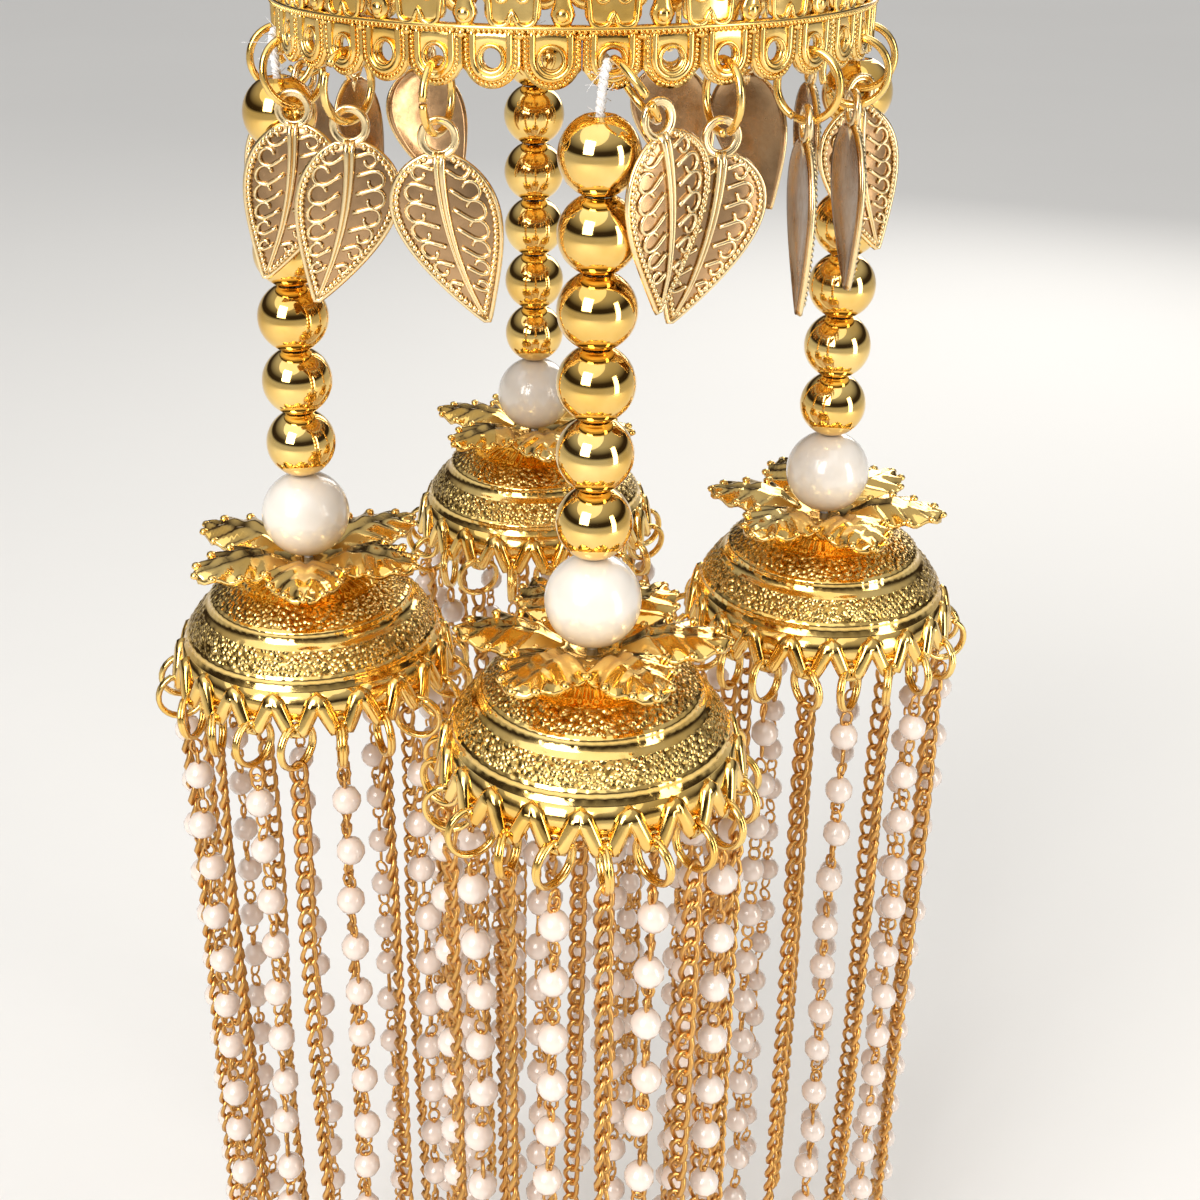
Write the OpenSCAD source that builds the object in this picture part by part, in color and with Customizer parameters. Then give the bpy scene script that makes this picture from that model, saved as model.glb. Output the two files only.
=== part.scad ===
// Kalire bridal ornament: a pierced crown with leaf pendants and four bead
// strings, each ending in a flower, a bell cap and a tassel of chains.
// Millimetres, +Z up, origin at the centre of the hanging loop.

/* [Crown] */
// Radius of the circle through the tongue holes
hole_ring_r = 31; // [28:0.5:36]
// Number of tongues round the lower edge
tongues = 36; // [24:1:40]
// Height of the upper pierced tier
tier_h = 10; // [6:0.5:16]
// Rise of the plain dome over the upper tier
dome_h = 6; // [4:0.5:12]

/* [Strings] */
// Diameter of a gold bead
bead_d = 7.8; // [6:0.1:8]
// Number of gold beads on a string
beads = 6; // [4:1:6]
// Diameter of the white pearl under the beads
pearl_d = 10; // [8:0.1:10.5]

/* [Bell caps] */
// Number of chevrons, eyelets and strands on a cap
chevrons = 20; // [16:2:20]
// Radius of the circle through the eyelets
eyelet_ring_r = 16; // [15.6:0.1:17]
// Length of a hanging strand
strand_len = 110; // [60:1:140]

/* [Leaves] */
// Width of a leaf
leaf_w = 10.4; // [8:0.1:12]
// Length of a leaf below its eye
leaf_len = 16.4; // [12:0.1:20]

/* [Hidden] */
STRINGS = ["left", "front", "right", "back"];
$fn = 72;

gold = [0.86, 0.66, 0.26];
leaf_gold = [0.84, 0.68, 0.40];
chain_gold = [0.80, 0.58, 0.28];
pearl_white = [0.95, 0.92, 0.88];
thread_white = [0.96, 0.96, 0.96];

// Play between loose pieces
gap = 0.1;
// Sheet metal of the crown and the caps
sheet = 0.8;

// Hanging loop
loop_r = 4;
loop_wire = 0.9;

// Heights down the crown
dome_top = -loop_r - loop_wire / 2;
tier_top = dome_top - dome_h;
tier_bottom = tier_top - tier_h;
rope_r = 0.35;
hole_drop = 2.6;
hole_z = tier_bottom - hole_drop;
tongue_r = 2.65;
tongue_hole_r = 0.92;
cusp_drop = 0.9;
skirt_bottom = hole_z - tongue_r + 0.06;

// Pierced windows of the upper tier
motifs = 22;
window_w = 1;
window_h = 7;
window_turn = 5.4;

// Leaf rings and leaves
ring_r = 3.3;
ring_wire = 0.4;
eye_r = 2;
eye_hole_r = 1.2;
leaf_t = 0.6;
relief = 0.25;
leaf_bend = 4.4;
// Each row holds the azimuth of the tongue, the twist of the leaf about the
// vertical, the side that its tip curves to, how far its ring leans outwards
// and towards the next tongue, and the swing of the leaf in its own plane
LEAVES = [
    [-90, 56, -1, 0, 0, 0], [-70, 54, -1, 7, 12, 0], [-50, 38, -1, 0, 0, 0],
    [-30, 20, 1, 0, 0, 0], [0.22, 31.5, -1, 25, 38, -17], [20, -12, -1, 0, 0, 0],
    [40, 48, -1, 0, 0, 0], [60, 31, -1, 0, 0, 0], [80, -60, 1, 0, 0, 0],
    [110, -20, -1, 0, 0, 0], [130, 10, -1, 0, 0, 0], [150, 20, -1, 0, 0, 0],
    [210, -10, -1, 0, 0, 0], [230, 10, -1, 0, 0, 0], [250, -20, -1, 0, 0, 0]];
ring_follow = 0.2;

// Strings: azimuth of each string and of the hole that its thread leaves
string_r = hole_ring_r + 0.8;
STRING_AZ = [-78, -2, 90, 182];
THREAD_AZ = [-80, 0, 90, 180];
PETAL_TURN = [-12, -9, 8, 33];
bead_half = bead_d / 2 - 0.3;
bead_pitch = 2 * bead_half + gap;
bore_r = 0.75;
thread_r = 0.5;
thin_r = 0.25;
knot_r = 1.1;
pearl_r = pearl_d / 2;
first_bead_drop = 8.3;
pearl_z = hole_z - first_bead_drop - (beads - 1) * bead_pitch - bead_half - gap - pearl_r;

// Flower
hub_r = 4;
hub_t = 0.8;
petals = 6;
petal_len = 11.6;
petal_w = 7.6;
petal_t = 0.6;
petal_rise = 13;

// Bell cap, heights from the pearl's centre
cap_top = -pearl_r - gap - hub_t - gap;
eyelet_drop = 18.9;
eyelet_r = 0.65;
cap_ring_r = 2.6;
cap_ring_wire = 0.4;
ring_sit = 0.15;
cap_ring_drop = eyelet_drop + cap_ring_r - ring_sit;
strand_top = -cap_ring_drop - cap_ring_r - cap_ring_wire - 0.15;
curb_r = 1;
small_pearl_r = 1.75;

// Puts children at an azimuth, which is 0 towards -Y and grows towards +X
module at_azimuth(az, r, z) {
    rotate([0, 0, az]) translate([0, -r, z]) children();
}

// A cylinder along the radius, for holes through a wall
module radial_hole(r, depth) {
    rotate([90, 0, 0]) cylinder(r = r, h = depth, center = true);
}

module ring(r, wire) {
    rotate_extrude() translate([r, 0]) circle(r = wire, $fn = 36);
}

// Crown wall as one turned profile: skirt, rope line, upper tier and dome
dome_steps = 10;
wall_r = hole_ring_r + sheet / 2;
function dome_line(r, rise, top) = concat([for (i = [0 : dome_steps - 1])
    let (a = 90 * i / dome_steps) [r * cos(a), top - rise + rise * sin(a) / sin(90 - 90 / dome_steps)]], [[0, top]]);

module crown_wall() rotate_extrude() polygon(concat(
    [[wall_r - sheet, skirt_bottom], [wall_r, skirt_bottom],
     [wall_r, tier_bottom - rope_r], [wall_r + rope_r * 1.4, tier_bottom - rope_r / 2],
     [wall_r + rope_r * 1.4, tier_bottom + rope_r / 2], [wall_r, tier_bottom + rope_r],
     [wall_r, tier_top - rope_r], [wall_r + rope_r, tier_top]],
    dome_line(wall_r, dome_h - rope_r, dome_top),
    [for (i = [dome_steps : -1 : 0]) dome_line(wall_r - sheet, dome_h - rope_r, dome_top - sheet)[i]]));

// What is cut away between two tongues: a block less the two round lobes
module cusp() {
    half_pitch = hole_ring_r * sin(180 / tongues);
    cusp_w = 2 * half_pitch - 0.6;
    depth = 4;
    translate([0, depth / 2, 0]) rotate([90, 0, 0]) linear_extrude(depth) difference() {
        translate([-cusp_w / 2, -tongue_r - 1])
            square([cusp_w, tongue_r + 1 - cusp_drop]);
        translate([-half_pitch, 0]) circle(r = tongue_r);
        translate([half_pitch, 0]) circle(r = tongue_r);
    }
}

module crown() color(gold) union() {
    step = 360 / tongues;
    difference() {
        crown_wall();
        for (i = [0 : tongues - 1]) {
            at_azimuth(i * step, hole_ring_r, hole_z) radial_hole(tongue_hole_r, 4);
            at_azimuth((i + 0.5) * step, hole_ring_r, hole_z) cusp();
        }
        for (i = [0 : motifs - 1], side = [-1, 1])
            at_azimuth(i * 360 / motifs + side * window_turn, hole_ring_r, (tier_top + tier_bottom) / 2)
                cube([window_w, 4, window_h], center = true);
    }
    rotate([90, 0, 0]) ring(loop_r, loop_wire);
}

// Leaf: the half width and the bend of the middle line at a share t of its length
function leaf_half(t) = leaf_w / 2 * pow(sin(180 * pow(t, 0.65)), 0.9);
function leaf_mid(t) = leaf_bend * pow(t, 2);
function leaf_point(side, t, inset) =
    [leaf_mid(t) + side * (leaf_half(t) - inset), -t * leaf_len - eye_r * 0.7];
function leaf_outline(n) = concat(
    [for (i = [0 : n]) leaf_point(-1, i / n, 0)],
    [for (i = [n - 1 : -1 : 1]) leaf_point(1, i / n, 0)]);
function leaf_field(n, border) = concat(
    [for (i = [1 : n - 2]) leaf_point(-1, i / n, border)],
    [for (i = [n - 2 : -1 : 1]) leaf_point(1, i / n, border)]);

module leaf(side) {
    points = 14;
    border = 0.7;
    rib_w = 0.9;
    field_t = leaf_t - relief;
    mirror([side > 0 ? 0 : 1, 0, 0]) rotate([90, 0, 0]) translate([0, 0, -leaf_t / 2]) difference() {
        union() {
            linear_extrude(leaf_t) polygon(leaf_outline(points));
            cylinder(r = eye_r, h = leaf_t);
        }
        translate([0, 0, -1]) cylinder(r = eye_hole_r, h = 4);
        translate([0, 0, field_t]) linear_extrude(1) difference() {
            polygon(leaf_field(points, border));
            translate([-0.4, -leaf_len]) square([rib_w, leaf_len]);
            translate([0, -eye_r]) circle(r = 1.8);
        }
    }
}

// Rings hang in the tongue holes, and each leaf from the foot of its ring
ring_seat = hole_z - tongue_hole_r + ring_wire + 0.12;
eye_lift = eye_hole_r - ring_wire - 0.42;
lean_seat = 0.6;
lean_lift = 0.85;

module at_seat(row) at_azimuth(row[0], hole_ring_r, ring_seat + lean_seat * tan(row[3])) children();

module leaf_ring(row) at_seat(row) rotate([-row[3], -row[4], 0])
    translate([0, 0, -ring_r]) rotate([0, 90, row[1] * ring_follow]) ring(ring_r, ring_wire);

module hung_leaf(row) {
    drop = 2 * ring_r;
    at_seat(row)
        translate([drop * cos(row[3]) * sin(row[4]), -drop * sin(row[3]),
            -drop * cos(row[3]) * cos(row[4]) - eye_lift + lean_lift * tan(row[3])])
            rotate([0, row[5], row[1]]) leaf(row[2]);
}

module leaves() color(leaf_gold) for (row = LEAVES) hung_leaf(row);

module leaf_rings() color(gold) for (row = LEAVES) leaf_ring(row);

// A round rod between two points given as azimuth, radius and height
function point_at(p) = [p[1] * sin(p[0]), -p[1] * cos(p[0]), p[2]];
module rod(a, b, r) {
    run = point_at(b) - point_at(a);
    translate(point_at(a)) rotate([0, acos(run[2] / norm(run)), atan2(run[1], run[0])])
        cylinder(r = r, h = norm(run));
}
module knot(p, r) translate(point_at(p)) sphere(r = r);

// Thread: from a knot inside its tongue hole, out and down through the beads,
// the pearl, the flower and the cap's top to a knot inside the cap
module thread(i) {
    top = pearl_z + pearl_r + gap + beads * bead_pitch + 0.4;
    bottom = pearl_z + cap_top - sheet - 0.9;
    to_side = STRING_AZ[i] < THREAD_AZ[i] ? -1 : 1;
    through = THREAD_AZ[i] + 1.07 * to_side;
    path = [
        [THREAD_AZ[i] + 2.2 * to_side, hole_ring_r - 1.8, hole_z + 0.9],
        [through, hole_ring_r - 0.7, hole_z - 0.1],
        [through, string_r, hole_z - 0.1],
        [THREAD_AZ[i] + 1.9 * to_side, string_r + 0.15, hole_z - 0.9],
        [STRING_AZ[i], string_r, top]];
    color(thread_white) union() {
        for (j = [0 : 3]) rod(path[j], path[j + 1], thin_r);
        for (j = [1 : 3]) knot(path[j], thin_r * 1.08);
        knot(path[0], knot_r);
        knot(path[4], thread_r * 1.1);
        rod(path[4], [STRING_AZ[i], string_r, bottom], thread_r);
        knot([STRING_AZ[i], string_r, bottom], knot_r);
    }
}

module bead(i, k) color(gold) at_azimuth(STRING_AZ[i], string_r,
    pearl_z + pearl_r + gap + bead_half + (beads - k) * bead_pitch) difference() {
        intersection() {
            sphere(r = bead_d / 2);
            cylinder(r = bead_d, h = 2 * bead_half, center = true);
        }
        cylinder(r = bore_r, h = bead_d, center = true);
    }

module pearl(i) color(pearl_white) at_azimuth(STRING_AZ[i], string_r, pearl_z) difference() {
    sphere(r = pearl_r);
    cylinder(r = bore_r, h = 2 * pearl_d, center = true);
}

// Petal: a leaf outline with scalloped edges, laid from the hub outwards
function petal_half(t) = petal_w / 2 * pow(sin(180 * pow(t, 0.8)), 0.8) * (1 + 0.07 * cos(360 * 5 * t));
function petal_outline(n) = concat(
    [for (i = [0 : n]) [i / n * petal_len, -petal_half(i / n)]],
    [for (i = [n - 1 : -1 : 1]) [i / n * petal_len, petal_half(i / n)]]);

module flower(i) color(gold)
    at_azimuth(STRING_AZ[i], string_r, pearl_z - pearl_r - gap - hub_t) difference() {
        union() {
            cylinder(r = hub_r, h = hub_t);
            for (k = [0 : petals - 1]) rotate([0, 0, PETAL_TURN[i] + k * 360 / petals])
                translate([hub_r - 1, 0, 0]) rotate([0, -petal_rise, 0]) {
                    linear_extrude(petal_t) polygon(petal_outline(20));
                    translate([0, -0.3, 0]) cube([petal_len - 1.2, 0.6, petal_t + 0.3]);
                }
        }
        translate([0, 0, -1]) cylinder(r = bore_r, h = 3);
    }

// Outer profile of the cap, radius and height from the pearl's centre
CAP_PROFILE = [
    [bore_r, cap_top], [3, cap_top - 0.1], [5.6, cap_top - 0.55], [7.9, cap_top - 1.6],
    [8.3, cap_top - 1.7], [10.2, cap_top - 2.5], [11.7, -9.6], [11.6, -10],
    [11.9, -10.7], [12.4, -11.1], [13.6, -12.2], [14.5, -13.7], [14.7, -14.2], [15.2, -15.1]];
rim_bottom = eyelet_drop + 1.3;
rim_slope = (eyelet_ring_r - 15.2) / (eyelet_drop - 15.1);
rim_r = 15.2 + rim_slope * (rim_bottom - 15.1);

module cap(i) color(gold) at_azimuth(STRING_AZ[i], string_r, pearl_z) difference() {
    outer = concat(CAP_PROFILE, [[rim_r, -rim_bottom]]);
    wall = [for (p = outer) [max(bore_r, p[0] - 0.75), p[1] - (p[0] < 15 ? 0.75 : 0)]];
    rotate_extrude() polygon(concat(
        [for (p = outer) [p[0], p[1]]],
        [for (j = [len(outer) - 1 : -1 : 0]) wall[j]]));
    notch_w = 3.9;
    notch_top = 15.9;
    for (k = [0 : chevrons - 1]) rotate([0, 0, k * 360 / chevrons]) {
        at_azimuth(0, eyelet_ring_r, -eyelet_drop) radial_hole(eyelet_r, 4);
        rotate([0, 0, 180 / chevrons]) at_azimuth(0, eyelet_ring_r, 0) rotate([90, 0, 0])
            translate([0, 0, -3]) linear_extrude(6) polygon([
                [-notch_w / 2, -rim_bottom - 1], [-1.4, -eyelet_drop - 0.2], [0, -notch_top],
                [1.4, -eyelet_drop - 0.2], [notch_w / 2, -rim_bottom - 1]]);
    }
}

module round_the_cap(i, first, step) at_azimuth(STRING_AZ[i], string_r, pearl_z)
    for (k = [first : step : chevrons - 1]) rotate([0, 0, k * 360 / chevrons]) children();

module cap_rings(i) color(gold) round_the_cap(i, 0, 1)
    at_azimuth(0, eyelet_ring_r, -cap_ring_drop) rotate([0, 90, 0]) ring(cap_ring_r, cap_ring_wire);

// Strands: closed tubes of the chains' own width
module strands(i, first, r, colour) color(colour) round_the_cap(i, first, 2)
    at_azimuth(0, eyelet_ring_r, strand_top - strand_len) cylinder(r = r, h = strand_len);

crown();
leaves();
leaf_rings();
for (i = [0 : 3]) {
    name = STRINGS[i];
    thread(i);
    for (k = [1 : beads]) bead(i, k);
    pearl(i);
    flower(i);
    cap(i);
    cap_rings(i);
    strands(i, 0, curb_r, chain_gold);
    strands(i, 1, small_pearl_r, pearl_white);
}
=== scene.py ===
"""Looks of a kalire bridal ornament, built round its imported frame: a pierced crown
hung with leaf pendants, and four bead strings that end in a flower, a bell cap and
a tassel of curb chains and small pearls. Shapes are in millimetres until a mesh is
made, azimuth 0 is -Y and grows towards +X, and +Z is up."""

import math

import bpy
import numpy as np
from mathutils import Matrix


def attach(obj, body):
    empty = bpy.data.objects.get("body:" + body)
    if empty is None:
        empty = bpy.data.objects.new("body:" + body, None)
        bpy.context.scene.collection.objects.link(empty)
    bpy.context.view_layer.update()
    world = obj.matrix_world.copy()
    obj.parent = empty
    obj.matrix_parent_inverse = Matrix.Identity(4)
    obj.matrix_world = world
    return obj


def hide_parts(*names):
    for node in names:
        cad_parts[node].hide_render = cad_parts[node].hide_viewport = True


bl_info = {
    "name": "Kalire ornament",
    "version": (1, 0, 0),
    "blender": (4, 5, 0),
    "location": "View3D > Sidebar > Kalire",
    "description": "Builds the looks of a bridal ornament round its frame",
    "category": "Object",
}

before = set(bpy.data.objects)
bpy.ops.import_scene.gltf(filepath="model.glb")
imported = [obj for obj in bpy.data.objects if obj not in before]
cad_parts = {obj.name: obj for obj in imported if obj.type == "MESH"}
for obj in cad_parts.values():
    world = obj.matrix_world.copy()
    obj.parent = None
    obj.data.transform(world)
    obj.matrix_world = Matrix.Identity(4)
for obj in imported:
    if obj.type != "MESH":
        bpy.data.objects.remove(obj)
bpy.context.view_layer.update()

MM = 0.001
TAU = 2 * math.pi
SIDES = ("left", "front", "right", "back")

# Sizes that the frame also has
LOOP_R = 4.0
LOOP_WIRE = 0.9
HOLE_RING_R = 31.0
WALL_R = 31.4
SHEET = 0.8
TONGUES = 36
TIER_TOP = -10.45
TIER_BOTTOM = -20.45
DOME_TOP = -4.45
HOLE_Z = -23.05
HOLE_R = 0.92
TONGUE_R = 2.65
MOTIFS = 22
STRING_R = 31.8
STRING_AZ = {"left": -78.0, "front": -2.0, "right": 90.0, "back": 182.0}
THREAD_AZ = {"left": -80.0, "front": 0.0, "right": 90.0, "back": 180.0}
PETAL_TURN = {"left": -12.0, "front": -9.0, "right": 8.0, "back": 33.0}
PEARL_Z = -76.55
PEARL_R = 5.0
BEADS = 6
BEAD_PITCH = 7.3
BEAD_R = 3.9
BEAD_HALF = 3.6
BEAD_BORE = 0.95
GAP = 0.1
PETALS = 6
RING_R = 3.3
RING_WIRE = 0.4
RING_FOLLOW = 0.2
LEAN_SEAT = 0.6
LEAN_LIFT = 0.85
EYE_R = 2.0
EYE_HOLE_R = 1.2
LEAF_LEN = 16.4
LEAF_W = 10.4
LEAF_BEND = 4.4
LEAF_SHEET = 0.45
CHEVRONS = 20
EYELET_RING_R = 16.0
EYELET_DROP = 18.9
CAP_RING_R = 2.6
CAP_RING_WIRE = 0.34
CAP_RING_DROP = EYELET_DROP + CAP_RING_R - 0.15
STRAND_TOP = -24.5
STRAND_LEN = 110.0
# Azimuth, twist, tip side, lean outwards, lean towards the next tongue, and swing
LEAVES = (
    (-90, 56, -1, 0, 0, 0), (-70, 54, -1, 7, 12, 0), (-50, 38, -1, 0, 0, 0),
    (-30, 20, 1, 0, 0, 0), (0.22, 31.5, -1, 25, 38, -17), (20, -12, -1, 0, 0, 0),
    (40, 48, -1, 0, 0, 0), (60, 31, -1, 0, 0, 0), (80, -60, 1, 0, 0, 0),
    (110, -20, -1, 0, 0, 0), (130, 10, -1, 0, 0, 0), (150, 20, -1, 0, 0, 0),
    (210, -10, -1, 0, 0, 0), (230, 10, -1, 0, 0, 0), (250, -20, -1, 0, 0, 0))

# The camera that fits the photo, in millimetres and degrees, and the widest sensor side
CAMERA_AT = (-20.75, -177.38, -2.25)
CAMERA_YAW = 5.56
CAMERA_PITCH = 24.07
CAMERA_SHIFT = (0.0503, -0.0651)
SENSOR = 36.0
# name, place, aimed at, width, height, watts, colour
LIGHTS = (
    ("key", (-0.40, -0.52, 0.30), (0, 0, -0.07), 0.36, 0.46, 5.0, (1.0, 0.98, 0.95)),
    ("fill", (0.50, -0.40, 0.02), (0, 0, -0.08), 0.16, 0.5, 1.8, (1.0, 0.95, 0.88)),
    ("rim", (0.35, 0.62, 0.22), (0, 0, -0.05), 0.25, 0.5, 1.6, (1.0, 0.97, 0.92)),
)
OVERHEAD = 0.85
OVERHEAD_SPREAD = 70
OVERHEAD_TILT = (18, -16, 0)
FLOOR_HALF = 6.0

# Directions square to a tube's path, which its first points turn from
OUT = (0, 1, 0)
ACROSS = (1, 0, 0)


# ---- shapes
def stacked(*columns):
    """Numbers or arrays side by side in a new last axis, stretched to one shape."""
    return np.stack(np.broadcast_arrays(*columns), -1)


def around(count):
    """Angles at even steps of a full circle, in radians."""
    return np.arange(count) * TAU / count


def grid_faces(rows, cols, close_rows=True):
    """Quads of a grid of rows by cols points: each joins a point, the next one in
    its row, and the two under them. Each row is a loop; closed rows join the last
    row to the first."""
    i, j = np.meshgrid(np.arange(rows if close_rows else rows - 1), np.arange(cols), indexing="ij")
    i2, j2 = (i + 1) % rows, (j + 1) % cols
    return stacked(i * cols + j, i * cols + j2, i2 * cols + j2, i2 * cols + j).reshape(-1, 4)


def outward(shape):
    """The shape with its faces turned so that its signed volume, a sixth of the sum
    of each triangle's triple product, is positive."""
    points, faces = shape
    t = faces[:, [0, 1, 2, 0, 2, 3]].reshape(-1, 3)
    a, b, c = (points[t[:, k]] for k in range(3))
    volume = np.einsum("ij,ij->", a, np.cross(b, c))
    return (points, faces) if volume > 0 else (points, faces[:, ::-1])


def capped(rows, close_rows=False):
    """A shell over rows of points, (n, m, 3), each row a closed loop. Its first and
    last rows close with a fan round their centre, unless the rows close on each other."""
    n, m = rows.shape[:2]
    points = rows.reshape(-1, 3)
    faces = grid_faces(n, m, close_rows)
    if not close_rows:
        points = np.vstack([points, rows[0].mean(0), rows[-1].mean(0)])
        j = np.arange(m)
        k = (j + 1) % m
        end = (n - 1) * m
        first = stacked(n * m, k, j, j)
        last = stacked(n * m + 1, end + j, end + k, end + k)
        faces = np.vstack([faces, first, last])
    return outward((points, faces))


def tube(path, radius, sides, closed=False, up=OUT, flat=1.0):
    """A round tube along a path: at each point the circle radius * (cos a * n + flat *
    sin a * b), where n is up made square to the path and b is their cross product."""
    path = np.asarray(path, float)
    if closed:
        along = np.roll(path, -1, 0) - np.roll(path, 1, 0)
    else:
        along = np.gradient(path, axis=0)
    along /= np.linalg.norm(along, axis=1, keepdims=True)
    up = np.broadcast_to(np.asarray(up, float), path.shape)
    n = np.cross(along, up)
    n /= np.maximum(np.linalg.norm(n, axis=1, keepdims=True), 1e-9)
    b = np.cross(n, along)
    a = around(sides)[None, :, None]
    r = np.broadcast_to(np.asarray(radius, float), (len(path),))[:, None, None]
    rows = path[:, None] + r * (np.cos(a) * n[:, None] + flat * np.sin(a) * b[:, None])
    return capped(rows, closed)


def turned(profile, cols, wobble=None):
    """A closed profile of (radius, height) turned about Z: x = r sin a, y = -r cos a.
    wobble(a, profile) gives what is added to each radius and height."""
    profile = np.asarray(profile, float)
    a = around(cols)[:, None]
    r, z = profile.T
    if wobble is not None:
        dr, dz = wobble(a, profile[None])
        r, z = r + dr, z + dz
    rows = stacked(r * np.sin(a), -r * np.cos(a), z)
    return outward((rows.reshape(-1, 3), grid_faces(cols, len(profile))))


def ball(radius, cols, rows, squash=(1, 1, 1)):
    """A sphere from rings of latitude with a pole at each end."""
    lat = (np.linspace(0.5, rows - 0.5, rows) / rows * math.pi)[:, None]
    a = around(cols)
    ring = stacked(np.sin(lat) * np.cos(a), np.sin(lat) * np.sin(a), np.cos(lat))
    points, faces = capped(ring)
    points[-2:] = (0, 0, 1), (0, 0, -1)
    return points * radius * np.asarray(squash, float), faces


def joined(shapes):
    """One shape of several; every face is a quad, and a triangle repeats its last point."""
    points, faces, start = [], [], 0
    for p, f in shapes:
        points.append(p)
        faces.append(f + start)
        start += len(p)
    return np.vstack(points), np.vstack(faces)


def repeated(points, faces):
    """One shape of several with the same faces, whose points are (k, n, 3)."""
    k, n = points.shape[:2]
    faces = faces[None] + (np.arange(k) * n)[:, None, None]
    return points.reshape(-1, 3), faces.reshape(-1, 4)


def copies(shape, turns, places):
    """The shape once for each turn (k, 3, 3) and place (k, 3)."""
    p, f = shape
    return repeated(np.einsum("kij,nj->kni", turns, p) + places[:, None], f)


def turn(axis, degrees):
    """Turning matrices about one axis for an array of angles."""
    a = np.radians(np.atleast_1d(np.asarray(degrees, float)))
    c, s, o, l = np.cos(a), np.sin(a), np.zeros_like(a), np.ones_like(a)
    rows = {"x": [l, o, o, o, c, -s, o, s, c], "y": [c, o, s, o, l, o, -s, o, c],
            "z": [c, -s, o, s, c, o, o, o, l]}[axis]
    return np.stack(rows, -1).reshape(-1, 3, 3)


def full_circle(count):
    """Azimuths at even steps of a full circle, in degrees."""
    return np.arange(count) * 360 / count


def placed(shape, matrix, place=(0, 0, 0)):
    """The shape turned by one matrix and moved; a mirror turns its faces round too."""
    p, f = shape
    p = p @ np.asarray(matrix).T + np.asarray(place, float)
    return (p, f) if np.linalg.det(matrix) > 0 else (p, f[:, ::-1])


def moved(shape, x, y, z):
    """The shape moved by x, y and z."""
    return shape[0] + (x, y, z), shape[1]


def strewn(shape, places):
    """The shape once at each place, unturned."""
    return repeated(shape[0] + places[:, None], shape[1])


def sheet(front, back):
    """A closed sheet of the front grid and the inner columns of the back one."""
    return capped(np.concatenate([front, back[:, ::-1][:, 1:-1]], 1))


def wrapped(shape, radius, azimuths, slope=0.0, base=0.0):
    """A flat shape of (across, outwards, height) bent round Z once for each azimuth:
    angle = across / radius, and distance = radius + outwards + slope * (base - height)."""
    p, f = shape
    az = np.radians(np.atleast_1d(np.asarray(azimuths, float)))
    a = az[:, None] + p[None, :, 0] / radius
    r = radius + p[:, 1] + slope * (base - p[:, 2])
    return outward(repeated(stacked(r * np.sin(a), -r * np.cos(a), p[:, 2]), f))


def point_at(azimuth, radius, height):
    """Points at an azimuth and distance from the crown's axis: (r sin a, -r cos a, z)."""
    a = np.radians(azimuth)
    return stacked(radius * np.sin(a), -radius * np.cos(a), height)


def on_string(side, shape):
    """The shape carried from its own axis to a string's, at the middle of its pearl."""
    az = STRING_AZ[side]
    return placed(shape, turn("z", az)[0], point_at(az, STRING_R, PEARL_Z))


def arc_points(centre, radius, a):
    """Plane points at these angles and distances from the centre."""
    return stacked(centre[0] + radius * np.cos(a), centre[1] + radius * np.sin(a))


def arc(centre, radius, start, end, count):
    """Points of a plane arc, by angle in degrees."""
    return arc_points(centre, radius, np.radians(np.linspace(start, end, count)))


def flat_path(xz, out):
    """Plane points as (across, outwards, height)."""
    xz = np.asarray(xz, float)
    return stacked(xz[:, 0], out, xz[:, 1])


def wire(xz, out, radius, sides, closed=False, flat=1.0):
    """A tube along plane points, this far outwards of the plane."""
    return tube(flat_path(xz, out), radius, sides, closed, flat=flat)


def even(path, count):
    """The same line with points at even distances."""
    path = np.asarray(path, float)
    s = np.concatenate([[0], np.cumsum(np.linalg.norm(np.diff(path, axis=0), axis=1))])
    t = np.linspace(0, s[-1], count)
    return stacked(*(np.interp(t, s, column) for column in path.T))


def plate(outline, hole, thickness, rings):
    """A plate round a hole: for each ray, points from the hole's edge to the outline
    in front, and back again behind. outline and hole are distances from the middle."""
    a = around(len(outline))[:, None]
    rad = hole + (outline - hole)[:, None] * np.linspace(0, 1, rings)
    x, z = rad * np.sin(a), rad * np.cos(a)
    rows = np.concatenate([stacked(x, 0, z), stacked(x, thickness, z)[:, ::-1]], 1)
    points, faces = rows.reshape(-1, 3), grid_faces(*rows.shape[:2])
    return outward((points * (1, -1, 1), faces))


# ---- finishes
def dimmed(tone, share):
    """The colour times one share, or times one for each channel."""
    return tuple(np.multiply(tone, share))


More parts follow.
